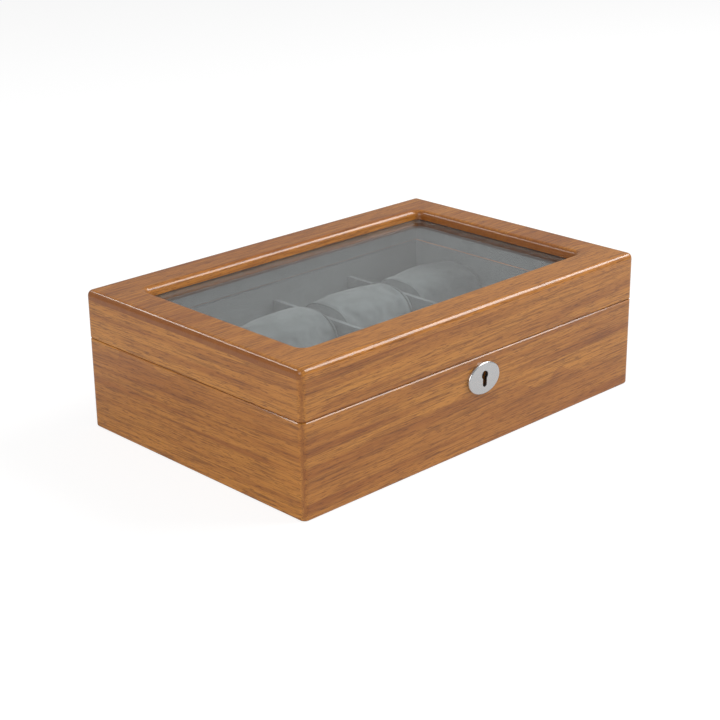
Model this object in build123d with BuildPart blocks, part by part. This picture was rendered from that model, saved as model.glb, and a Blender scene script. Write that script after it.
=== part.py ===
from build123d import *
import os

# Wooden watch box: a mitred base with eight lined cells and pillows, and a glazed lid on two
# butt hinges, held shut by a mortised box lock behind an oval escutcheon.
# Frame: origin in the middle of the underside, X along the length, front towards -Y, Z up.
# All sizes are in millimetres.

# Overall sizes
box_length = 290.0
box_depth = 195.0
box_height = 90.0
lid_height = 31.0  # from the parting line to the top

# Boards
wall = 7.0
corner_radius = 4.0  # upright outer corners
foot_radius = 1.6  # outer edge of the underside
rim_chamfer = 0.6  # outer edges at the parting line
lid_gap = 0.3  # between base and lid when shut
bottom_thickness = 4.0
felt_thickness = 0.8
fit = 0.1  # clearance of a panel between its neighbours

# Lid top and glass
top_thickness = 6.0
top_edge_radius = 3.8
side_rail = 25.0
front_rail = 26.0
window_corner = 5.0
window_edge_radius = 3.8
glass_thickness = 3.0
glass_overlap = 9.0
glass_corner = 2.0
frame_thickness = 1.8  # of the suede frame under the glass

# Linings, dividers and pillows
lining = 1.5
base_lining_drop = 0.8  # below the parting line
lid_lining_rise = 0.8  # above the parting line
divider = 3.2
divider_drop = 11.5  # top of the dividers below the parting line
columns = 4
pillow_drop = 4.5  # top of the pillows below the parting line
pillow_width = 53.0
pillow_gap = 0.4
pillow_corner = 19.0
pillow_end_radius = 5.0

# Hinges
hinge_inset = 60.0  # from the end of the box to the middle of a hinge
leaf_width = 30.0
leaf_length = 6.0  # let into the rim
leaf_thickness = 1.2
barrel_radius = 2.2
barrel_out = 0.3  # barrel axis beyond the back face
barrel_gap = 0.3
knuckle = 10.0  # middle knuckle, on the lid's leaf
knuckle_gap = 0.2
pin_radius = 1.0
pin_play = 0.05
hinge_screw_spacing = 20.0

# Screws
screw_radius = 0.9
screw_head_radius = 1.7
screw_length = 7.0
screw_play = 0.03
screw_margin = 0.3  # between a hinge screw and the front of its leaf

# Lock
lock_drop = 14.0  # middle of the escutcheon below the parting line
lock_skin = 2.0  # wood left in front of the case
lock_width = 28.0
lock_height = 20.0
lock_metal = 0.8
lock_cover_thickness = 0.6
selvedge_length = 42.0
selvedge_thickness = 1.5
lock_screw_spacing = 35.0
lock_play = 0.3
bolt_travel = 3.5
bolt_bar = 2.5
bolt_nose = 1.7
lug_stem = 2.0
lug_foot = 3.0
lug_foot_thickness = 1.5
lug_depth = 5.7  # below the lid's rim
lug_play = 0.5
keyhole_radius = 2.75
keyhole_rise = 2.05  # head of the keyhole above the middle of the escutcheon
keyhole_slot = 3.5
keyhole_fall = 5.4  # foot of the keyhole below the middle of the escutcheon
keyhole_play = 0.3
key_pin_radius = 0.9
escutcheon_width = 27.0
escutcheon_height = 20.0
escutcheon_proud = 2.0
escutcheon_edge = 0.9
stud_radius = 0.7
stud_length = 1.6
stud_spacing = 19.0

# Places worked out from the sizes
parting_z = box_height - lid_height
rim_z = parting_z - lid_gap / 2
lid_z = parting_z + lid_gap / 2
top_z = box_height - top_thickness
inner_length = box_length - 2 * wall
inner_depth = box_depth - 2 * wall
lined_length = inner_length - 2 * lining
lined_depth = inner_depth - 2 * lining
bottom_z = felt_thickness + bottom_thickness
floor_z = bottom_z + lining
glass_z = top_z - glass_thickness
frame_z = glass_z - frame_thickness
window_length = box_length - 2 * side_rail
window_depth = box_depth - 2 * front_rail
divider_z = parting_z - divider_drop
cell_pitch = (lined_length + divider) / columns
cell_length = cell_pitch - divider
cell_depth = (lined_depth - divider) / 2
axis_y = box_depth / 2 + barrel_out
notch_radius = barrel_radius + barrel_gap
hinge_x = box_length / 2 - hinge_inset
leaf_front = box_depth / 2 - leaf_length
lock_front = box_depth / 2 - lock_skin  # distances from the middle towards the front
lock_back = box_depth / 2 - wall
lock_middle = (lock_front + lock_back) / 2
lock_z = parting_z - lock_drop
case_top = rim_z - selvedge_thickness
case_bottom = case_top - lock_height
bolt_front = lock_front - lock_metal - lock_play
bolt_back = lock_back + lock_cover_thickness + lock_play
bolt_thickness = bolt_front - bolt_back
lug_thickness = bolt_thickness - 2 * lug_play
foot_z = lid_z - lug_depth
sides = ("front", "right", "back", "left")
hinges = (("left", -hinge_x), ("right", hinge_x))
low = (Align.CENTER, Align.CENTER, Align.MIN)

os.makedirs("parts", exist_ok=True)


def save(builder, name):
    """Label a finished piece and write it."""
    builder.part.label = name
    export_step(builder.part, f"parts/{name}.step")


def mitred_plan(number):
    """Corners of one board seen from above, its ends cut at 45 degrees."""
    half_length = box_length / 2
    half_depth = box_depth / 2
    turns = ((-1, -1), (1, -1), (1, 1), (-1, 1))
    near = turns[number]
    far = turns[(number + 1) % 4]
    outer = [(x * half_length, y * half_depth) for x, y in (near, far)]
    inner = [(x * (half_length - wall), y * (half_depth - wall)) for x, y in (far, near)]
    return outer + inner


def screws(spots, pointing, grow=0.0, mode=Mode.ADD):
    """Countersunk screws: heads flush with the spots, tips along the given direction."""
    with Locations(*[Plane(origin=spot, z_dir=pointing) for spot in spots]):
        sink = screw_head_radius - screw_radius
        Cone(screw_head_radius + grow, screw_radius + grow, sink, align=low, mode=mode)
        Cylinder(screw_radius + grow, screw_length + grow, align=low, mode=mode)


def keyhole(grow=0.0):
    """Keyhole outline: a round head over a slot with a round foot."""
    foot_height = lock_z - keyhole_fall + keyhole_slot / 2
    head_height = lock_z + keyhole_rise
    with Locations((0, head_height)):
        Circle(keyhole_radius + grow)
    with Locations((0, foot_height)):
        Circle(keyhole_slot / 2 + grow)
    with Locations((0, (head_height + foot_height) / 2)):
        Rectangle(keyhole_slot + 2 * grow, head_height - foot_height)


def barrel(start, length, radius=barrel_radius, mode=Mode.ADD):
    """A round length along X on the hinge axis."""
    with Locations(Plane(origin=(start, axis_y, parting_z), z_dir=(1, 0, 0))):
        Cylinder(radius, length, align=low, mode=mode)


def hinge_mortise(base_height):
    """Cut the seat of each hinge leaf and the round notch for its barrel."""
    with Locations(*[(x, box_depth / 2 - leaf_length / 2, base_height) for side, x in hinges]):
        Box(leaf_width + 2 * fit, leaf_length + 2 * fit, leaf_thickness, align=low, mode=Mode.SUBTRACT)
    for side, x in hinges:
        start = x - leaf_width / 2 - barrel_gap
        barrel(start, leaf_width + 2 * barrel_gap, notch_radius, Mode.SUBTRACT)


def hinge_spots(height):
    """Places of the hinge screws at the given height."""
    half = hinge_screw_spacing / 2
    depth = leaf_front + screw_head_radius + screw_margin
    return [(x + step, depth, height) for side, x in hinges for step in (-half, half)]


def lock_spots(height):
    """Places of the two screws of the lock or the strike at the given height."""
    return [(step * lock_screw_spacing / 2, -lock_middle, height) for step in (-1, 1)]


# Base boards: one ring with every seat cut in it, then parted at the mitres
with BuildPart() as base_ring:
    with BuildSketch():
        RectangleRounded(box_length, box_depth, corner_radius)
        Rectangle(inner_length, inner_depth, mode=Mode.SUBTRACT)
    extrude(amount=rim_z)
    fillet(base_ring.faces().sort_by(Axis.Z)[0].outer_wire().edges(), foot_radius)
    chamfer(base_ring.faces().sort_by(Axis.Z)[-1].outer_wire().edges(), rim_chamfer)
    with BuildSketch(Plane.XY.offset(case_top)):
        with Locations((0, -lock_middle)):
            Rectangle(selvedge_length + 2 * fit, lock_front - lock_back)
    extrude(amount=selvedge_thickness, mode=Mode.SUBTRACT)
    with BuildSketch(Plane.XY.offset(case_bottom - fit)):
        with Locations((0, -lock_middle)):
            Rectangle(lock_width + 2 * fit, lock_front - lock_back)
    extrude(amount=lock_height + fit, mode=Mode.SUBTRACT)
    with BuildSketch(Plane.XZ.offset(box_depth / 2)):
        keyhole(keyhole_play)
        with Locations((-stud_spacing / 2, lock_z), (stud_spacing / 2, lock_z)):
            Circle(stud_radius + screw_play)
    extrude(amount=-lock_skin, mode=Mode.SUBTRACT)
    hinge_mortise(rim_z - leaf_thickness)
    screws(hinge_spots(rim_z), (0, 0, -1), screw_play, Mode.SUBTRACT)
    screws(lock_spots(rim_z), (0, 0, -1), screw_play, Mode.SUBTRACT)

for number, side in enumerate(sides):
    with BuildPart() as base_board:
        add(base_ring.part)
        with BuildSketch():
            Polygon(*mitred_plan(number), align=None)
        extrude(amount=rim_z, mode=Mode.INTERSECT)
    save(base_board, f"base_{side}_board")

# Bottom board and the felt under it, let in between the boards
with BuildPart() as bottom_board:
    with BuildSketch(Plane.XY.offset(felt_thickness)):
        Rectangle(inner_length, inner_depth)
    extrude(amount=bottom_thickness)
save(bottom_board, "bottom_board")

with BuildPart() as base_felt:
    with BuildSketch():
        Rectangle(inner_length - 2 * fit, inner_depth - 2 * fit)
    extrude(amount=felt_thickness)
save(base_felt, "base_felt")

# Floor lining and the four wall linings of the base
with BuildPart() as floor_lining:
    with BuildSketch(Plane.XY.offset(bottom_z)):
        Rectangle(inner_length - 2 * fit, inner_depth - 2 * fit)
    extrude(amount=lining)
save(floor_lining, "floor_lining")

lining_plans = {
    "front": (0, -(inner_depth - lining) / 2, inner_length, lining),
    "back": (0, (inner_depth - lining) / 2, inner_length, lining),
    "left": (-(inner_length - lining) / 2, 0, lining, lined_depth),
    "right": ((inner_length - lining) / 2, 0, lining, lined_depth),
}
for side, (x, y, length, depth) in lining_plans.items():
    with BuildPart() as base_lining:
        with BuildSketch(Plane.XY.offset(floor_z)):
            with Locations((x, y)):
                Rectangle(length, depth)
        extrude(amount=parting_z - base_lining_drop - floor_z)
    save(base_lining, f"base_{side}_lining")

    with BuildPart() as lid_lining:
        with BuildSketch(Plane.XY.offset(parting_z + lid_lining_rise)):
            with Locations((x, y)):
                Rectangle(length, depth)
        extrude(amount=frame_z - parting_z - lid_lining_rise)
    save(lid_lining, f"lid_{side}_lining")

# Dividers: the long one slotted from above, the cross ones from below
divider_xs = [(number - columns / 2) * cell_pitch for number in range(1, columns)]
half_height = (divider_z - floor_z) / 2
slot = divider + 2 * fit

with BuildPart() as row_divider:
    with BuildSketch(Plane.XY.offset(floor_z)):
        Rectangle(lined_length - 2 * fit, divider)
    extrude(amount=divider_z - floor_z)
    with BuildSketch(Plane.XY.offset(floor_z + half_height - fit)):
        with Locations(*[(x, 0) for x in divider_xs]):
            Rectangle(slot, slot)
    extrude(amount=half_height + fit, mode=Mode.SUBTRACT)
save(row_divider, "row_divider")

for number, x in enumerate(divider_xs, start=1):
    with BuildPart() as cross_divider:
        with BuildSketch(Plane.XY.offset(floor_z)):
            with Locations((x, 0)):
                Rectangle(divider, lined_depth - 2 * fit)
        extrude(amount=divider_z - floor_z)
        with BuildSketch(Plane.XY.offset(floor_z)):
            with Locations((x, 0)):
                Rectangle(slot, slot)
        extrude(amount=half_height + fit, mode=Mode.SUBTRACT)
    save(cross_divider, f"cross_divider_{number}")

# Pillows: one rounded roll in each cell, along X
pillow_base = floor_z + pillow_gap
pillow_height = parting_z - pillow_drop - pillow_base
pillow_length = cell_length - 2 * pillow_gap
pillow_round = min(pillow_corner, pillow_height / 2 - 1, pillow_width / 2 - 1)
for row, way in (("front", -1), ("back", 1)):
    for column in range(columns):
        middle_x = (column - (columns - 1) / 2) * cell_pitch
        middle_y = way * (divider + cell_depth) / 2
        with BuildPart() as pillow:
            with BuildSketch(Plane.YZ.offset(middle_x - pillow_length / 2)):
                with Locations((middle_y, pillow_base + pillow_height / 2)):
                    RectangleRounded(pillow_width, pillow_height, pillow_round)
            extrude(amount=pillow_length)
            ends = pillow.faces().filter_by(Axis.X)
            fillet(ends.edges(), pillow_end_radius)
        save(pillow, f"pillow_{row}_{column + 1}")

# Lid boards: the same ring and mitres as the base
with BuildPart() as lid_ring:
    with BuildSketch(Plane.XY.offset(lid_z)):
        RectangleRounded(box_length, box_depth, corner_radius)
        Rectangle(inner_length, inner_depth, mode=Mode.SUBTRACT)
    extrude(amount=top_z - lid_z)
    chamfer(lid_ring.faces().sort_by(Axis.Z)[0].outer_wire().edges(), rim_chamfer)
    with BuildSketch(Plane.XY.offset(lid_z)):
        with Locations((0, -lock_middle)):
            Rectangle(selvedge_length + 2 * fit, lock_front - lock_back)
    extrude(amount=selvedge_thickness, mode=Mode.SUBTRACT)
    hinge_mortise(lid_z)
    screws(hinge_spots(lid_z), (0, 0, 1), screw_play, Mode.SUBTRACT)
    screws(lock_spots(lid_z), (0, 0, 1), screw_play, Mode.SUBTRACT)

for number, side in enumerate(sides):
    with BuildPart() as lid_board:
        add(lid_ring.part)
        with BuildSketch(Plane.XY.offset(lid_z)):
            Polygon(*mitred_plan(number), align=None)
        extrude(amount=top_z - lid_z, mode=Mode.INTERSECT)
    save(lid_board, f"lid_{side}_board")

# Lid top: one board with a window, rounded over outside and inside
with BuildPart() as lid_top_board:
    with BuildSketch(Plane.XY.offset(top_z)):
        RectangleRounded(box_length, box_depth, corner_radius)
    extrude(amount=top_thickness)
    fillet(lid_top_board.faces().sort_by(Axis.Z)[-1].outer_wire().edges(), top_edge_radius)
    with BuildSketch(Plane.XY.offset(top_z)):
        RectangleRounded(window_length, window_depth, window_corner)
    extrude(amount=top_thickness, mode=Mode.SUBTRACT)
    window_rim = lid_top_board.faces().sort_by(Axis.Z)[-1].inner_wires()[0].edges()
    fillet(window_rim, window_edge_radius)
save(lid_top_board, "lid_top_board")

# Glass pane against the underside of the top, and the suede frame that holds it
with BuildPart() as glass_pane:
    with BuildSketch(Plane.XY.offset(glass_z)):
        RectangleRounded(window_length + 2 * glass_overlap, window_depth + 2 * glass_overlap, glass_corner)
    extrude(amount=glass_thickness)
save(glass_pane, "glass_pane")

with BuildPart() as glass_frame:
    with BuildSketch(Plane.XY.offset(frame_z)):
        Rectangle(inner_length - 2 * fit, inner_depth - 2 * fit)
        RectangleRounded(window_length, window_depth, window_corner, mode=Mode.SUBTRACT)
    extrude(amount=top_z - frame_z)
    with BuildSketch(Plane.XY.offset(glass_z)):
        rebate_length = window_length + 2 * (glass_overlap + fit)
        rebate_depth = window_depth + 2 * (glass_overlap + fit)
        RectangleRounded(rebate_length, rebate_depth, glass_corner)
    extrude(amount=glass_thickness, mode=Mode.SUBTRACT)
save(glass_frame, "glass_frame")

# Hinges: the base leaf carries the two outer knuckles and the pin, the lid leaf the middle one
plate_middle = (leaf_front + axis_y) / 2
plate_depth = axis_y - leaf_front
outer_knuckle = (leaf_width - knuckle) / 2
for side, x in hinges:
    start = x - leaf_width / 2
    with BuildPart() as base_leaf:
        with BuildSketch(Plane.XY.offset(rim_z - leaf_thickness)):
            with Locations((x, plate_middle)):
                Rectangle(leaf_width, plate_depth)
        extrude(amount=leaf_thickness)
        barrel(start, leaf_width)
        middle_start = start + outer_knuckle - knuckle_gap
        barrel(middle_start, knuckle + 2 * knuckle_gap, notch_radius, Mode.SUBTRACT)
        barrel(start, leaf_width, pin_radius + screw_play, Mode.SUBTRACT)
        own_spots = [spot for spot in hinge_spots(rim_z) if abs(spot[0] - x) < leaf_width]
        screws(own_spots, (0, 0, -1), screw_play, Mode.SUBTRACT)
    save(base_leaf, f"base_hinge_leaf_{side}")

    with BuildPart() as lid_leaf:
        with BuildSketch(Plane.XY.offset(lid_z)):
            with Locations((x, plate_middle)):
                Rectangle(leaf_width, plate_depth)
        extrude(amount=leaf_thickness)
        barrel(start, leaf_width)
        cut = outer_knuckle + knuckle_gap
        barrel(start, cut, notch_radius, Mode.SUBTRACT)
        barrel(start + leaf_width - cut, cut, notch_radius, Mode.SUBTRACT)
        barrel(start, leaf_width, pin_radius + pin_play, Mode.SUBTRACT)
        own_spots = [spot for spot in hinge_spots(lid_z) if abs(spot[0] - x) < leaf_width]
        screws(own_spots, (0, 0, 1), screw_play, Mode.SUBTRACT)
    save(lid_leaf, f"lid_hinge_leaf_{side}")

    with BuildPart() as hinge_pin:
        barrel(start, leaf_width, pin_radius)
    save(hinge_pin, f"hinge_pin_{side}")

with BuildPart() as base_hinge_screws:
    screws(hinge_spots(rim_z), (0, 0, -1))
save(base_hinge_screws, "base_hinge_screws")

with BuildPart() as lid_hinge_screws:
    screws(hinge_spots(lid_z), (0, 0, 1))
save(lid_hinge_screws, "lid_hinge_screws")

# Lock case with its selvedge, open at the back and closed by the cover
with BuildPart() as lock_case:
    with BuildSketch(Plane.XY.offset(case_bottom)):
        with Locations((0, -(lock_middle + lock_cover_thickness / 2))):
            Rectangle(lock_width, lock_front - lock_back - lock_cover_thickness)
    extrude(amount=lock_height)
    with BuildSketch(Plane.XY.offset(case_top)):
        with Locations((0, -lock_middle)):
            Rectangle(selvedge_length, lock_front - lock_back)
    extrude(amount=selvedge_thickness)
    with BuildSketch(Plane.XZ.offset(lock_front - lock_metal)):
        with Locations((0, (case_bottom + lock_metal + case_top) / 2)):
            Rectangle(lock_width - 2 * lock_metal, lock_height - lock_metal)
    extrude(amount=-(lock_front - lock_metal - lock_back), mode=Mode.SUBTRACT)
    with BuildSketch(Plane.XZ.offset(lock_front)):
        keyhole()
    extrude(amount=-lock_metal, mode=Mode.SUBTRACT)
    slot_start = -lug_stem / 2 - lug_play
    slot_end = lug_stem / 2 + lug_foot + lug_play
    with BuildSketch(Plane.XY.offset(case_top)):
        with Locations(((slot_start + slot_end) / 2, -lock_middle + (lock_metal - lock_cover_thickness) / 2)):
            Rectangle(slot_end - slot_start, lug_thickness + 2 * lug_play)
    extrude(amount=selvedge_thickness, mode=Mode.SUBTRACT)
    screws(lock_spots(rim_z), (0, 0, -1), screw_play, Mode.SUBTRACT)
save(lock_case, "lock_case")

with BuildPart() as lock_cover:
    with BuildSketch(Plane.XZ.offset(lock_back + lock_cover_thickness)):
        with Locations((0, (case_bottom + case_top) / 2)):
            Rectangle(lock_width, lock_height)
    extrude(amount=-lock_cover_thickness)
save(lock_cover, "lock_cover")

with BuildPart() as key_pin:
    with BuildSketch(Plane.XZ.offset(lock_back + lock_cover_thickness)):
        with Locations((0, lock_z + keyhole_rise)):
            Circle(key_pin_radius)
    extrude(amount=box_depth / 2 - lock_back - lock_cover_thickness)
save(key_pin, "key_pin")

with BuildPart() as lock_screws:
    screws(lock_spots(rim_z), (0, 0, -1))
save(lock_screws, "lock_screws")

# Bolt: a bar with a notch for the key and a nose that slides over the lug's foot
foot_end = lug_stem / 2 + lug_foot
nose_start = foot_end + bolt_travel / 2 - lug_stem / 2 - lock_play / 2
bar_end = lock_width / 2 - lock_metal - lug_play
bar_start = -(bar_end - bolt_travel)
bar_top = foot_z - lock_play
nose_bottom = foot_z + lug_foot_thickness + lock_play
riser_start = foot_end + bolt_travel + lug_play
with BuildPart() as lock_bolt:
    with BuildSketch(Plane.XZ.offset(bolt_front)):
        with BuildLine():
            Polyline(
                (bar_start, bar_top - bolt_bar),
                (bar_end, bar_top - bolt_bar),
                (bar_end, nose_bottom + bolt_nose),
                (nose_start, nose_bottom + bolt_nose),
                (nose_start, nose_bottom),
                (riser_start, nose_bottom),
                (riser_start, bar_top),
                (bar_start, bar_top),
                close=True,
            )
        make_face()
        with Locations((bolt_travel / 2, bar_top - bolt_bar)):
            Rectangle(keyhole_slot, bolt_bar, mode=Mode.SUBTRACT)
    extrude(amount=-bolt_thickness)
save(lock_bolt, "lock_bolt")

# Strike plate in the lid, with the hooked lug that drops into the lock
with BuildPart() as strike_plate:
    with BuildSketch(Plane.XY.offset(lid_z)):
        with Locations((0, -lock_middle)):
            Rectangle(selvedge_length, lock_front - lock_back)
    extrude(amount=selvedge_thickness)
    with BuildSketch(Plane.XZ.offset(bolt_front - lug_play)):
        with Locations((0, (lid_z + foot_z) / 2)):
            Rectangle(lug_stem, lug_depth)
        with Locations((foot_end / 2 - lug_stem / 4, foot_z + lug_foot_thickness / 2)):
            Rectangle(foot_end + lug_stem / 2, lug_foot_thickness)
    extrude(amount=-lug_thickness)
    screws(lock_spots(lid_z), (0, 0, 1), screw_play, Mode.SUBTRACT)
save(strike_plate, "strike_plate")

with BuildPart() as strike_screws:
    screws(lock_spots(lid_z), (0, 0, 1))
save(strike_screws, "strike_screws")

# Oval escutcheon with two studs on its back
with BuildPart() as escutcheon:
    with BuildSketch(Plane.XZ.offset(box_depth / 2)):
        with Locations((0, lock_z)):
            Ellipse(escutcheon_width / 2, escutcheon_height / 2)
    extrude(amount=escutcheon_proud)
    fillet(escutcheon.faces().sort_by(Axis.Y)[0].edges(), escutcheon_edge)
    with BuildSketch(Plane.XZ.offset(box_depth / 2)):
        keyhole()
    extrude(amount=escutcheon_proud, mode=Mode.SUBTRACT)
    with BuildSketch(Plane.XZ.offset(box_depth / 2)):
        with Locations((-stud_spacing / 2, lock_z), (stud_spacing / 2, lock_z)):
            Circle(stud_radius)
    extrude(amount=-stud_length)
save(escutcheon, "escutcheon")
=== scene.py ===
import math

import bpy
import numpy as np
from mathutils import Matrix, Vector


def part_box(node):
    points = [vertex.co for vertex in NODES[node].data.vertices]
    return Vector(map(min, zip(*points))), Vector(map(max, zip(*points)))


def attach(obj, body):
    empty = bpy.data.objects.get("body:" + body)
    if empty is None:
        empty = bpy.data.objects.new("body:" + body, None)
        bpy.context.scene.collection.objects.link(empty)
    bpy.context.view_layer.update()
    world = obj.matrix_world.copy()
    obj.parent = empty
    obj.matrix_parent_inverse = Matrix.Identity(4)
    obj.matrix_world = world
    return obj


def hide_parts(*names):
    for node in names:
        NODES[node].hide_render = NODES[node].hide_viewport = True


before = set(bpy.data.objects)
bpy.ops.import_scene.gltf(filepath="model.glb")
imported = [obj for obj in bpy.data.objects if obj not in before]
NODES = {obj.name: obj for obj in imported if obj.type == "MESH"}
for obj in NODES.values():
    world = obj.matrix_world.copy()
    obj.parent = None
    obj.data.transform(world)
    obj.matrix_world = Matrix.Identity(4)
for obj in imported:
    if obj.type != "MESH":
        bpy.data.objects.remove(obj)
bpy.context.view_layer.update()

bl_info = {
    "name": "Watch Box",
    "version": (1, 0, 0),
    "blender": (4, 5, 0),
    "location": "3D View > Sidebar > Watch Box",
    "description": "Finishes, suede pillows, camera and lights of a glazed wooden watch box",
    "category": "Object",
}

MM = 0.001
SIDES = ("front", "right", "back", "left")

# Camera: a long lens on a 36 mm wide sensor, from the front left, looking down
CAMERA_PLACE = (-0.68791, -0.70641, 0.41070)
CAMERA_YAW = 43.940
CAMERA_PITCH = 21.114
CAMERA_ROLL = -0.704
CAMERA_LENS = 82.757

# Strength of the white surround as a light, as gloss shows it, and as seen directly or through glass
SURROUND_LIGHT = 0.36
SURROUND_REFLECTED = 0.42
SURROUND_SEEN = 1.0

# Lamps: name, place, target, size in metres, power in watts
LAMPS = (
    ("lamp_edge", (1.04, -0.58, 1.12), (0, 0, 0.06), (1.2, 0.55), 18.0),
    ("lamp_back", (-0.60, 1.10, 1.10), (0, 0, 0.06), (0.9, 0.14), 4.0),
    ("lamp_left", (-1.25, -0.55, 0.75), (0, 0, 0.05), (1.0, 1.0), 9.0),
)
FLOOR_HALF = 6.0

# Golden sapwood at the front of the lid's top: where it starts, where it is full, and how strong
SAPWOOD_START = -0.064
SAPWOOD_FULL = -0.076
SAPWOOD_SHARE = 0.7
# Painted shade: the grey that the back boards' inner faces are darkened towards
INSIDE_SHADE = 0.03

# Stuffing of the pillows: the seams' place and size as shares of the half length and half section
SEAM_SHARE = 0.88
SEAM_SIZE = 0.905
SWELL_PRESSURE = 3.0
SWELL_STRETCH = -0.05
SWELL_BENDING = 0.05
SWELL_QUALITY = 6
SWELL_FRAMES = 20


class WatchBoxColours(bpy.types.PropertyGroup):
    """Colours of the finishes, in linear light."""

    wood_light: bpy.props.FloatVectorProperty(
        name="Wood, light", description="Pale golden part of the wood", subtype="COLOR",
        default=(0.61, 0.252, 0.040))
    wood_middle: bpy.props.FloatVectorProperty(
        name="Wood, middle", description="Main brown of the wood", subtype="COLOR",
        default=(0.36, 0.115, 0.016))
    wood_dark: bpy.props.FloatVectorProperty(
        name="Wood, dark", description="Dark streaks of the wood", subtype="COLOR",
        default=(0.125, 0.034, 0.006))
    suede: bpy.props.FloatVectorProperty(
        name="Suede", description="Grey cloth of the linings and pillows", subtype="COLOR",
        default=(0.098, 0.108, 0.112))
    nickel: bpy.props.FloatVectorProperty(
        name="Nickel", description="Satin plate of the escutcheon", subtype="COLOR",
        default=(0.62, 0.63, 0.64))
    brass: bpy.props.FloatVectorProperty(
        name="Brass", description="Hinges, bolt and strike", subtype="COLOR",
        default=(0.74, 0.50, 0.20))


class WatchBoxSizes(bpy.types.PropertyGroup):
    """Sizes of the soft pieces and of the wood's figure."""

    pillow_clearance: bpy.props.FloatProperty(
        name="Pillow clearance", description="Room left between a pillow and its solid",
        default=0.4 * MM, unit="LENGTH")
    pillow_squareness: bpy.props.FloatProperty(
        name="Pillow squareness", description="Exponent of the pillow's section, 2 is an ellipse",
        default=2.6)
    pillow_voxel: bpy.props.FloatProperty(
        name="Cloth grid", description="Spacing of the cloth's points when a pillow is stuffed",
        default=3.0 * MM, unit="LENGTH")
    pillow_swell: bpy.props.FloatProperty(
        name="Swell", description="Furthest that stuffing pushes the cloth out",
        default=5.0 * MM, unit="LENGTH")
    piping_radius: bpy.props.FloatProperty(
        name="Seam radius", description="Radius of the seam round each pillow end",
        default=0.55 * MM, unit="LENGTH")
    ring_spacing: bpy.props.FloatProperty(
        name="Ring spacing", description="Distance between growth rings in the wood",
        default=5.5 * MM, unit="LENGTH")


# Material helpers

def new_material(name):
    """An empty node material with its output, and a function that adds nodes to it."""
    material = bpy.data.materials.new(name)
    material.use_nodes = True
    tree = material.node_tree
    tree.nodes.clear()
    output = tree.nodes.new("ShaderNodeOutputMaterial")

    def add(kind, inputs=None, **settings):
        node = tree.nodes.new(kind)
        for key, value in settings.items():
            setattr(node, key, value)
        for key, value in (inputs or {}).items():
            if isinstance(value, bpy.types.NodeSocket):
                tree.links.new(value, node.inputs[key])
            else:
                node.inputs[key].default_value = value
        return node

    return material, add, output, tree


def ramp(add, factor, stops):
    """A colour ramp through the given (position, colour) stops."""
    node = add("ShaderNodeValToRGB", {"Fac": factor})
    elements = node.color_ramp.elements
    while len(elements) < len(stops):
        elements.new(0.5)
    for element, (position, colour) in zip(elements, stops):
        element.position = position
        element.color = (*colour[:3], 1.0)
    return node.outputs["Color"]


def grey(level):
    """A neutral colour."""
    return (level, level, level)


def mix(add, factor, first, second, blend="MIX"):
    """Blend two colours by a factor."""
    node = add("ShaderNodeMix", data_type="RGBA", blend_type=blend)
    tree = node.id_data
    for socket, value in ((node.inputs[0], factor), (node.inputs[6], first), (node.inputs[7], second)):
        if isinstance(value, bpy.types.NodeSocket):
            tree.links.new(value, socket)
        elif socket.type == "VALUE":
            socket.default_value = value
        else:
            socket.default_value = (*value[:3], 1.0)
    return node.outputs[2]


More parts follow.
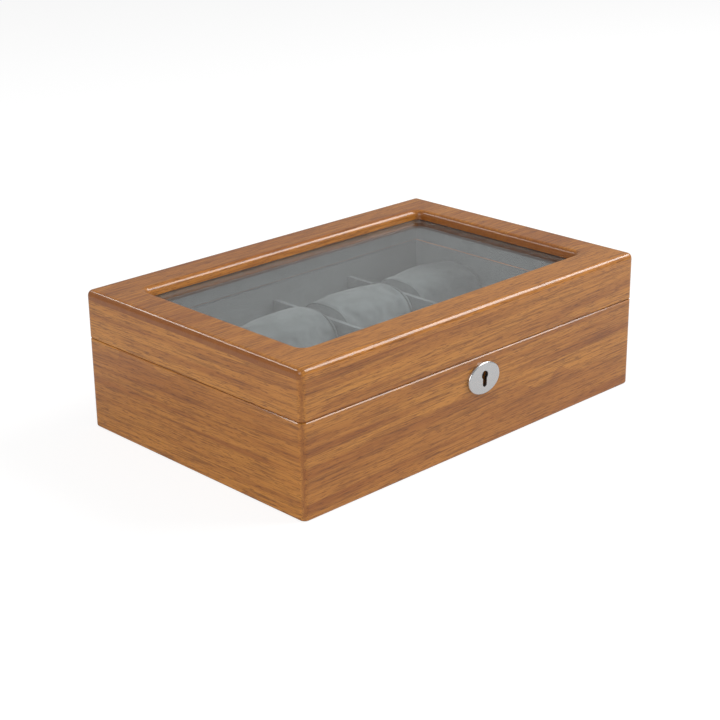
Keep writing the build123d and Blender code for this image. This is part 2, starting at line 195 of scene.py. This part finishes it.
def wood_material(name, along_y=False, shift=(0.0, 0.0, 0.0), tint=(1.0, 1.0, 1.0), tilt=1.2,
                  golden_edge=False, shaded_inside=False):
    """Lacquered figured wood.

    The growth rings are cylinders round a pith line nearly along the grain, so a board cuts them
    in long stripes and arches. Fine streaks and pores are noise drawn out along the grain.
    golden_edge adds pale sapwood at the front, and the inside flag paints shade: it darkens faces
    towards -Y.
    """
    colours = bpy.context.scene.watch_box_colours
    sizes = bpy.context.scene.watch_box_sizes
    material, add, output, tree = new_material(name)
    place = add("ShaderNodeTexCoord").outputs["Object"]
    turn = math.radians(90.0) if along_y else 0.0
    laid = add("ShaderNodeMapping", {"Vector": place, "Location": shift,
                                     "Rotation": (math.radians(tilt), math.radians(tilt), -turn)})
    grain = laid.outputs["Vector"]
    waves = add("ShaderNodeMapping", {"Vector": grain, "Scale": (5.0, 26.0, 26.0)})
    sway = add("ShaderNodeTexNoise", {"Vector": waves.outputs[0], "Scale": 1.0, "Detail": 3.0})
    ring_scale = 1.0 / (20.0 * sizes.ring_spacing)
    rings = add("ShaderNodeTexWave", {"Vector": grain, "Scale": ring_scale, "Distortion": 5.5,
                                      "Detail": 3.0, "Detail Scale": 0.8, "Detail Roughness": 0.6},
                wave_type="RINGS", rings_direction="X", wave_profile="SAW")
    figure = add("ShaderNodeMath", {0: rings.outputs["Fac"], 1: sway.outputs["Fac"]},
                 operation="MULTIPLY")
    streak_place = add("ShaderNodeMapping", {"Vector": grain, "Scale": (32.0, 1050.0, 1050.0)})
    streaks = add("ShaderNodeTexNoise", {"Vector": streak_place.outputs[0], "Scale": 1.0,
                                         "Detail": 5.0, "Roughness": 0.62, "Distortion": 0.25})
    band_place = add("ShaderNodeMapping", {"Vector": grain, "Scale": (4.0, 120.0, 120.0)})
    bands = add("ShaderNodeTexNoise", {"Vector": band_place.outputs[0], "Scale": 1.0,
                                       "Detail": 3.0, "Roughness": 0.55})
    pore_place = add("ShaderNodeMapping", {"Vector": grain, "Scale": (150.0, 2300.0, 2300.0)})
    pores = add("ShaderNodeTexNoise", {"Vector": pore_place.outputs[0], "Scale": 1.0,
                                       "Detail": 2.0, "Roughness": 0.5})
    light, middle, dark = colours.wood_light, colours.wood_middle, colours.wood_dark
    ground = ramp(add, bands.outputs["Fac"], ((0.30, middle), (0.55, light), (0.78, middle)))
    ringed = mix(add, figure.outputs[0], ground, middle)
    if golden_edge:
        across = add("ShaderNodeSeparateXYZ", {0: place})
        sapwood = add("ShaderNodeMapRange", {"Value": across.outputs["Y"],
                                             "From Min": SAPWOOD_START, "From Max": SAPWOOD_FULL,
                                             "To Max": SAPWOOD_SHARE})
        ringed = mix(add, sapwood.outputs[0], ringed, light)
    streak_mask = ramp(add, streaks.outputs["Fac"], ((0.47, grey(0.0)), (0.68, grey(0.68))))
    streaked = mix(add, streak_mask, ringed, dark)
    pore_mask = ramp(add, pores.outputs["Fac"], ((0.55, grey(0.0)), (0.68, grey(0.7))))
    pored = mix(add, pore_mask, streaked, dark)
    facing = add("ShaderNodeSeparateXYZ", {0: add("ShaderNodeTexCoord").outputs["Normal"]})
    end_on = add("ShaderNodeMath", {0: facing.outputs["Y" if along_y else "X"]}, operation="ABSOLUTE")
    end_mask = ramp(add, end_on.outputs[0], ((0.35, grey(0.0)), (0.8, grey(0.75))))
    ended = mix(add, end_mask, pored, mix(add, 0.45, middle, dark))
    # Painted shade: faces towards -Y are darkened towards a near-black grey
    if shaded_inside:
        inward_shade = add("ShaderNodeMapRange", {"Value": facing.outputs["Y"],
                                            "From Min": -0.5, "From Max": -0.8})
        ended = mix(add, inward_shade.outputs[0], ended, grey(INSIDE_SHADE))
    tinted = mix(add, 1.0, ended, tint, "MULTIPLY")
    bump = add("ShaderNodeBump", {"Height": pores.outputs["Fac"], "Strength": 0.06,
                                  "Distance": 0.0003})
    shader = add("ShaderNodeBsdfPrincipled", {
        "Base Color": tinted, "Normal": bump.outputs["Normal"], "Roughness": 0.5,
        "Specular IOR Level": 0.2, "Coat Weight": 0.8, "Coat Roughness": 0.10, "Coat IOR": 1.5})
    tree.links.new(shader.outputs[0], output.inputs["Surface"])
    return material


def suede_material(name, lift=1.0, depth=0.15):
    """Napped cloth: mottling of the given depth where the nap turns, a fine fibre bump and sheen."""
    colours = bpy.context.scene.watch_box_colours
    material, add, output, tree = new_material(name)
    place = add("ShaderNodeTexCoord").outputs["Object"]
    mottle = add("ShaderNodeTexNoise", {"Vector": place, "Scale": 85.0, "Detail": 4.0, "Roughness": 0.6,
                                        "Distortion": 0.6})
    nap = add("ShaderNodeTexNoise", {"Vector": place, "Scale": 2600.0, "Detail": 2.0})
    base = Vector(colours.suede) * lift
    mottled = ramp(add, mottle.outputs["Fac"], ((0.32, base * (1.0 - depth)),
                                                (0.68, base * (1.0 + depth))))
    flecks = ramp(add, nap.outputs["Fac"], ((0.3, base * 0.6), (0.7, base * 1.3)))
    flecked = mix(add, 0.12, mottled, flecks)
    bump = add("ShaderNodeBump", {"Height": nap.outputs["Fac"], "Strength": 0.10, "Distance": 0.0004})
    shader = add("ShaderNodeBsdfPrincipled", {
        "Base Color": flecked, "Normal": bump.outputs["Normal"], "Roughness": 0.95,
        "Specular IOR Level": 0.12, "Sheen Weight": 0.18, "Sheen Roughness": 0.45})
    tree.links.new(shader.outputs[0], output.inputs["Surface"])
    return material


def metal_material(name, colour, roughness, brushed=0.06):
    """Plated metal whose roughness varies by the brushed amount in fine noise."""
    material, add, output, tree = new_material(name)
    place = add("ShaderNodeTexCoord").outputs["Object"]
    wear = add("ShaderNodeTexNoise", {"Vector": place, "Scale": 900.0, "Detail": 3.0})
    rough = add("ShaderNodeMapRange", {"Value": wear.outputs["Fac"], "To Min": roughness - brushed,
                                       "To Max": roughness + brushed})
    shader = add("ShaderNodeBsdfPrincipled", {
        "Base Color": (*colour, 1.0), "Metallic": 1.0, "Roughness": rough.outputs[0]})
    tree.links.new(shader.outputs[0], output.inputs["Surface"])
    return material


def glass_material(name):
    """Clear float glass that lets lamp light through to the inside."""
    material, add, output, tree = new_material(name)
    shader = add("ShaderNodeBsdfPrincipled", {
        "Base Color": (0.97, 0.99, 0.98, 1.0), "Roughness": 0.0, "IOR": 1.45,
        "Transmission Weight": 1.0})
    clear = add("ShaderNodeBsdfTransparent", {"Color": (0.95, 0.97, 0.96, 1.0)})
    rays = add("ShaderNodeLightPath")
    shade = add("ShaderNodeMixShader", {0: rays.outputs["Is Shadow Ray"], 1: shader.outputs[0],
                                        2: clear.outputs[0]})
    tree.links.new(shade.outputs[0], output.inputs["Surface"])
    return material


def finish(node, material):
    """Give a CAD piece its material."""
    piece = NODES[node]
    if not piece.material_slots:
        piece.data.materials.append(material)
    for holder in piece.material_slots:
        holder.material = material


def grid_mesh(name, points, closed_u, material):
    """A mesh from an array of points (rows, columns, 3), its columns joined round when closed_u."""
    rows, columns = points.shape[:2]
    index = np.arange(rows * columns).reshape(rows, columns)
    right = np.roll(index, -1, axis=1) if closed_u else index[:, 1:]
    left = index if closed_u else index[:, :-1]
    faces = np.stack([left[:-1], right[:-1], right[1:], left[1:]], axis=-1).reshape(-1, 4)
    mesh = bpy.data.meshes.new(name)
    mesh.from_pydata(points.reshape(-1, 3).tolist(), [], faces.tolist())
    mesh.polygons.foreach_set("use_smooth", np.ones(len(mesh.polygons), bool))
    mesh.update()
    mesh.materials.append(material)
    piece = bpy.data.objects.new(name, mesh)
    bpy.context.scene.collection.objects.link(piece)
    return piece


# Operators: one for each group of pieces

class WATCHBOX_OT_wood(bpy.types.Operator):
    """Finish the boards in lacquered wood, each from its own stretch of the timber."""

    bl_idname = "watchbox.wood"
    bl_label = "Wooden boards"

    def execute(self, context):
        finish("lid_top_board", wood_material("wood_top", shift=(0.3, 0.045, -0.06),
                                              tint=(0.95, 0.90, 0.86), golden_edge=True))
        for number, side in enumerate(SIDES):
            along_y = side in ("left", "right")
            shift = (0.37 * number, 0.011 * number + 0.03, 0.05)
            lid_shift = (0.37 * number + 0.11, 0.011 * number + 0.03, 0.062)
            # Painted shade on the inner faces of the back boards only
            back_shaded = side == "back"
            finish(f"base_{side}_board", wood_material(f"wood_base_{side}", along_y, shift,
                                                       shaded_inside=back_shaded))
            finish(f"lid_{side}_board", wood_material(f"wood_lid_{side}", along_y, lid_shift,
                                                      shaded_inside=back_shaded))
        finish("bottom_board", wood_material("wood_bottom", shift=(0.0, 0.2, 0.0),
                                             tint=(1.25, 1.4, 1.7)))
        return {"FINISHED"}


class WATCHBOX_OT_linings(bpy.types.Operator):
    """Cover the linings, dividers and glass frame in suede and the underside in felt."""

    bl_idname = "watchbox.linings"
    bl_label = "Linings and felt"

    def execute(self, context):
        suede = suede_material("suede_lining")
        for name in NODES:
            if name.endswith("_lining") or "divider" in name or name == "glass_frame":
                finish(name, suede)
        finish("base_felt", suede_material("felt_underside", lift=0.12))
        return {"FINISHED"}


class WATCHBOX_OT_metal(bpy.types.Operator):
    """Finish the lock, hinges and screws in their metals."""

    bl_idname = "watchbox.metal"
    bl_label = "Lock, hinges and screws"

    def execute(self, context):
        colours = context.scene.watch_box_colours
        finish("escutcheon", metal_material("satin_nickel", colours.nickel, 0.27, 0.015))
        brass = metal_material("polished_brass", colours.brass, 0.22)
        steel = metal_material("plated_steel", grey(0.5), 0.3)
        dark_steel = metal_material("lock_steel", grey(0.05), 0.5)
        for name in NODES:
            if "hinge_leaf" in name or name in ("strike_plate", "lock_bolt"):
                finish(name, brass)
            elif name.endswith("screws") or name.startswith("hinge_pin"):
                finish(name, steel)
            elif name in ("lock_case", "lock_cover", "key_pin"):
                finish(name, dark_steel)
        return {"FINISHED"}


class WATCHBOX_OT_glass(bpy.types.Operator):
    """Glaze the lid."""

    bl_idname = "watchbox.glass"
    bl_label = "Glass pane"

    def execute(self, context):
        finish("glass_pane", glass_material("clear_glass"))
        return {"FINISHED"}


def roll_points(centre, half, squareness, stations, around=88):
    """A roll along X, as rows of rings.

    Each station is (share of the half length, share of the half section). A ring is a
    superellipse in Y and Z, and the first and last rings close to a point.
    """
    angle = np.linspace(0.0, 2.0 * math.pi, around, endpoint=False)[None, :]
    along, size = (np.array(column)[:, None] for column in zip(*stations))
    power = 2.0 / squareness
    points = np.empty((len(stations), around, 3))
    points[..., 0] = centre[0] + half[0] * along + 0 * angle
    across, upward = np.cos(angle), np.sin(angle)
    points[..., 1] = centre[1] + half[1] * size * np.sign(across) * np.abs(across) ** power
    points[..., 2] = centre[2] + half[2] * size * np.sign(upward) * np.abs(upward) ** power
    return points


def seam_points(centre, half, squareness, share, size, radius, around=160, sides=8):
    """A thin cord round the roll: a small circle carried along the superellipse of the seam."""
    turn = np.linspace(0.0, 2.0 * math.pi, around + 1)
    power = 2.0 / squareness
    y = half[1] * size * np.sign(np.cos(turn)) * np.abs(np.cos(turn)) ** power
    z = half[2] * size * np.sign(np.sin(turn)) * np.abs(np.sin(turn)) ** power
    outward = np.stack([y, z], axis=-1)
    outward /= np.linalg.norm(outward, axis=-1, keepdims=True)
    ring = np.linspace(0.0, 2.0 * math.pi, sides, endpoint=False)[None, :]
    points = np.empty((around + 1, sides, 3))
    points[..., 0] = centre[0] + half[0] * share + radius * np.cos(ring)
    points[..., 1] = centre[1] + y[:, None] + radius * np.sin(ring) * outward[:, :1]
    points[..., 2] = centre[2] + z[:, None] + radius * np.sin(ring) * outward[:, 1:]
    return points


def coordinates(mesh):
    """The mesh's points as an array."""
    flat = np.empty(len(mesh.vertices) * 3)
    mesh.vertices.foreach_get("co", flat)
    return flat.reshape(-1, 3)


def bake(piece):
    """Replace the piece's mesh with what its modifiers make of it."""
    graph = bpy.context.evaluated_depsgraph_get()
    made = bpy.data.meshes.new_from_object(piece.evaluated_get(graph))
    piece.modifiers.clear()
    piece.data = made


def ready_to_swell(piece, seam_xs, voxel):
    """Remesh the roll evenly, hold its seams and give it cloth under pressure."""
    remesh = piece.modifiers.new("remesh", "REMESH")
    remesh.mode = "VOXEL"
    remesh.voxel_size = voxel
    smooth = piece.modifiers.new("smooth", "SMOOTH")
    smooth.iterations = 3
    bake(piece)
    x = coordinates(piece.data)[:, 0]
    held = np.min([np.abs(x - seam) for seam in seam_xs], axis=0) < 0.55 * voxel
    group = piece.vertex_groups.new(name="seams")
    group.add([int(i) for i in np.flatnonzero(held)], 1.0, "REPLACE")
    cloth = piece.modifiers.new("cloth", "CLOTH")
    cloth.settings.quality = SWELL_QUALITY
    cloth.settings.effector_weights.gravity = 0.0
    cloth.settings.use_pressure = True
    cloth.settings.uniform_pressure_force = SWELL_PRESSURE
    cloth.settings.shrink_min = SWELL_STRETCH
    cloth.settings.bending_stiffness = SWELL_BENDING
    cloth.settings.vertex_group_mass = group.name
    cloth.collision_settings.use_collision = False


def settle(piece, rest, low, high, reach):
    """Keep the swollen cloth: no point moves further than reach or leaves the pillow's room."""
    bake(piece)
    swollen = coordinates(piece.data)
    move = swollen - rest
    length = np.linalg.norm(move, axis=1, keepdims=True)
    kept = rest + move * np.minimum(1.0, reach / np.maximum(length, 1e-9))
    piece.data.vertices.foreach_set("co", np.clip(kept, low, high).ravel())
    piece.data.polygons.foreach_set("use_smooth", np.ones(len(piece.data.polygons), bool))
    piece.data.update()
    finer = piece.modifiers.new("finer", "SUBSURF")
    finer.levels = finer.render_levels = 1
    bake(piece)


class WATCHBOX_OT_pillows(bpy.types.Operator):
    """Stuff a suede pillow for each cell in place of its plain solid."""

    bl_idname = "watchbox.pillows"
    bl_label = "Watch pillows"

    def execute(self, context):
        sizes = context.scene.watch_box_sizes
        suede = suede_material("suede_pillow", lift=1.0, depth=0.28)
        half_profile = ((0.4, 0.93), (0.8, 0.9), (0.88, 0.9), (0.93, 0.8), (0.94, 0.45), (0.93, 0.02))
        mirrored = tuple((-along, size) for along, size in reversed(half_profile))
        stations = mirrored + ((0.0, 0.935),) + half_profile
        pillows = {}
        for name in sorted(n for n in NODES if n.startswith("pillow")):
            low, high = (np.array(corner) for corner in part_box(name))
            centre, half = (low + high) / 2, (high - low) / 2
            points = roll_points(centre, half, sizes.pillow_squareness, stations)
            piece = grid_mesh(f"{name}_suede", points, True, suede)
            for end, share in (("left", -SEAM_SHARE), ("right", SEAM_SHARE)):
                cord = seam_points(centre, half, sizes.pillow_squareness, share, SEAM_SIZE,
                                   sizes.piping_radius)
                seam = grid_mesh(f"{name}_seam_{end}", cord, True, suede)
                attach(seam, name)
            pillows[name] = (piece, low, high)
        for piece, low, high in pillows.values():
            middle, reach = (low[0] + high[0]) / 2, (high[0] - low[0]) / 2
            seam_xs = (middle - SEAM_SHARE * reach, middle + SEAM_SHARE * reach)
            ready_to_swell(piece, seam_xs, sizes.pillow_voxel)
        rest = {name: coordinates(made[0].data) for name, made in pillows.items()}
        for step in range(1, SWELL_FRAMES + 1):
            context.scene.frame_set(step)
        inset = sizes.pillow_clearance / 2
        for name, (piece, low, high) in pillows.items():
            settle(piece, rest[name], low + inset, high - inset, sizes.pillow_swell)
        context.scene.frame_set(1)
        for name, (piece, _, _) in pillows.items():
            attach(piece, name)
            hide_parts(name)
        return {"FINISHED"}


def area_lamp(name, place, target, size, power):
    """A soft rectangular lamp turned to its target."""
    lamp = bpy.data.lights.new(name, "AREA")
    lamp.shape = "RECTANGLE"
    lamp.size, lamp.size_y = size
    lamp.energy = power
    holder = bpy.data.objects.new(name, lamp)
    holder.location = place
    holder.rotation_euler = (Vector(target) - Vector(place)).to_track_quat("-Z", "Y").to_euler()
    bpy.context.scene.collection.objects.link(holder)


class WATCHBOX_OT_stage(bpy.types.Operator):
    """Set the camera, the lamps, the white surround and the floor."""

    bl_idname = "watchbox.stage"
    bl_label = "Camera, lamps and floor"

    def execute(self, context):
        scene = context.scene
        scene.view_settings.view_transform = "Standard"
        yaw, pitch, roll = (math.radians(a) for a in (CAMERA_YAW, CAMERA_PITCH, CAMERA_ROLL))
        forward = Vector((math.sin(yaw) * math.cos(pitch), math.cos(yaw) * math.cos(pitch),
                          -math.sin(pitch)))
        right = Vector((math.cos(yaw), -math.sin(yaw), 0.0))
        up = right.cross(forward)
        right_rolled = right * math.cos(roll) + up * math.sin(roll)
        up_rolled = up * math.cos(roll) - right * math.sin(roll)
        camera = bpy.data.cameras.new("camera")
        camera.lens = CAMERA_LENS
        camera.sensor_width = 36.0
        camera.clip_start = 0.01
        holder = bpy.data.objects.new("camera", camera)
        turn = Matrix((right_rolled, up_rolled, -forward)).transposed()
        holder.matrix_world = Matrix.Translation(CAMERA_PLACE) @ turn.to_4x4()
        scene.collection.objects.link(holder)
        scene.camera = holder

        for lamp in LAMPS:
            area_lamp(*lamp)

        world = bpy.data.worlds.new("studio")
        scene.world = world
        world.use_nodes = True
        tree = world.node_tree
        tree.nodes.clear()
        rays = tree.nodes.new("ShaderNodeLightPath")
        level = SURROUND_LIGHT
        for ray, brighter in (("Is Glossy Ray", SURROUND_REFLECTED),
                              ("Is Transmission Ray", SURROUND_SEEN), ("Is Camera Ray", SURROUND_SEEN)):
            choice = tree.nodes.new("ShaderNodeMix")
            choice.inputs["B"].default_value = brighter
            tree.links.new(rays.outputs[ray], choice.inputs["Factor"])
            if isinstance(level, float):
                choice.inputs["A"].default_value = level
            else:
                tree.links.new(level, choice.inputs["A"])
            level = choice.outputs["Result"]
        background = tree.nodes.new("ShaderNodeBackground")
        tree.links.new(level, background.inputs["Strength"])
        output = tree.nodes.new("ShaderNodeOutputWorld")
        tree.links.new(background.outputs[0], output.inputs["Surface"])

        half = FLOOR_HALF
        mesh = bpy.data.meshes.new("floor")
        corners = [(-half, -half, 0), (half, -half, 0), (half, half, 0), (-half, half, 0)]
        mesh.from_pydata(corners, [], [(0, 1, 2, 3)])
        material, add, shade_output, floor_tree = new_material("floor_white")
        paper = add("ShaderNodeBsdfDiffuse", {"Color": (0.8, 0.8, 0.8, 1.0)})
        shadowed = add("ShaderNodeBsdfDiffuse", {"Color": (0.3, 0.3, 0.3, 1.0)})
        glow = add("ShaderNodeEmission", {"Color": (1.0, 1.0, 1.0, 1.0), "Strength": 0.8})
        lit = add("ShaderNodeAddShader", {0: shadowed.outputs[0], 1: glow.outputs[0]})
        path = add("ShaderNodeLightPath")
        shade = add("ShaderNodeMixShader", {0: path.outputs["Is Camera Ray"], 1: paper.outputs[0],
                                            2: lit.outputs[0]})
        floor_tree.links.new(shade.outputs[0], shade_output.inputs["Surface"])
        mesh.materials.append(material)
        floor = bpy.data.objects.new("floor", mesh)
        scene.collection.objects.link(floor)
        return {"FINISHED"}


class WATCHBOX_PT_panel(bpy.types.Panel):
    """The makers of the watch box, in order."""

    bl_idname = "WATCHBOX_PT_panel"
    bl_label = "Watch Box"
    bl_space_type = "VIEW_3D"
    bl_region_type = "UI"
    bl_category = "Watch Box"

    def draw(self, context):
        for settings in (context.scene.watch_box_colours, context.scene.watch_box_sizes):
            for name in settings.__annotations__:
                self.layout.prop(settings, name)
        for maker in MAKERS:
            self.layout.operator(maker.bl_idname)


MAKERS = (WATCHBOX_OT_stage, WATCHBOX_OT_wood, WATCHBOX_OT_linings, WATCHBOX_OT_metal,
          WATCHBOX_OT_glass, WATCHBOX_OT_pillows)
CLASSES = (WatchBoxColours, WatchBoxSizes, *MAKERS, WATCHBOX_PT_panel)


def register():
    """Make the classes and their settings known."""
    for part in CLASSES:
        bpy.utils.register_class(part)
    bpy.types.Scene.watch_box_colours = bpy.props.PointerProperty(type=WatchBoxColours)
    bpy.types.Scene.watch_box_sizes = bpy.props.PointerProperty(type=WatchBoxSizes)


def unregister():
    """Undo register."""
    del bpy.types.Scene.watch_box_sizes
    del bpy.types.Scene.watch_box_colours
    for part in reversed(CLASSES):
        bpy.utils.unregister_class(part)


def main():
    """Make every piece in order."""
    register()
    bpy.ops.watchbox.stage()
    bpy.ops.watchbox.wood()
    bpy.ops.watchbox.linings()
    bpy.ops.watchbox.metal()
    bpy.ops.watchbox.glass()
    bpy.ops.watchbox.pillows()


if __name__ == "__main__":
    main()
